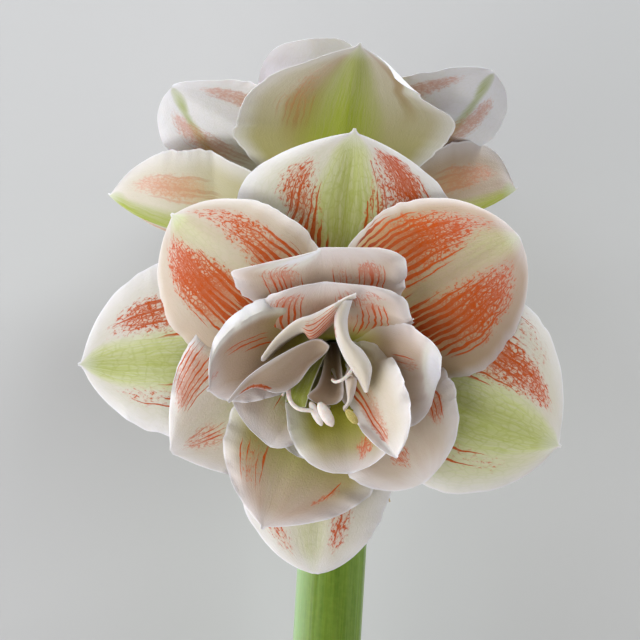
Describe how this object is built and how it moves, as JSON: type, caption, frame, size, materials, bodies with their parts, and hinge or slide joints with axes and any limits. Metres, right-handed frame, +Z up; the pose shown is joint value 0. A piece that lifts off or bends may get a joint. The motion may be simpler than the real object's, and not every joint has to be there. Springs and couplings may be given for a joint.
{
  "type": "cut amaryllis flower stem",
  "caption": "Cut amaryllis flower stem with double white, green and red striped blooms, lying on its cut end and its rear bloom.",
  "frame": {"origin": "on the surface the stem lies on, under the centre of its bounding box", "axes": "+Y along the stem from its cut end to the blooms, +X across it, +Z up, the way the front bloom faces"},
  "size_m": [0.1884, 0.4604, 0.1916],
  "materials": {
    "stem": "smooth waxy green skin",
    "stalk": "smooth waxy green skin",
    "tepal": "satin white petal with green bands and red net",
    "bract": "dry and papery",
    "anther": "powdery pollen"
  },
  "bodies": {
    "root": {"stem": "stem", "left_bract": "bract", "right_bract": "bract", "front_stalk": "stalk", "rear_stalk": "stalk", "front_bloom": "tepal", "front_anther": "anther", "rear_bloom": "tepal"}
  },
  "joints": []
}
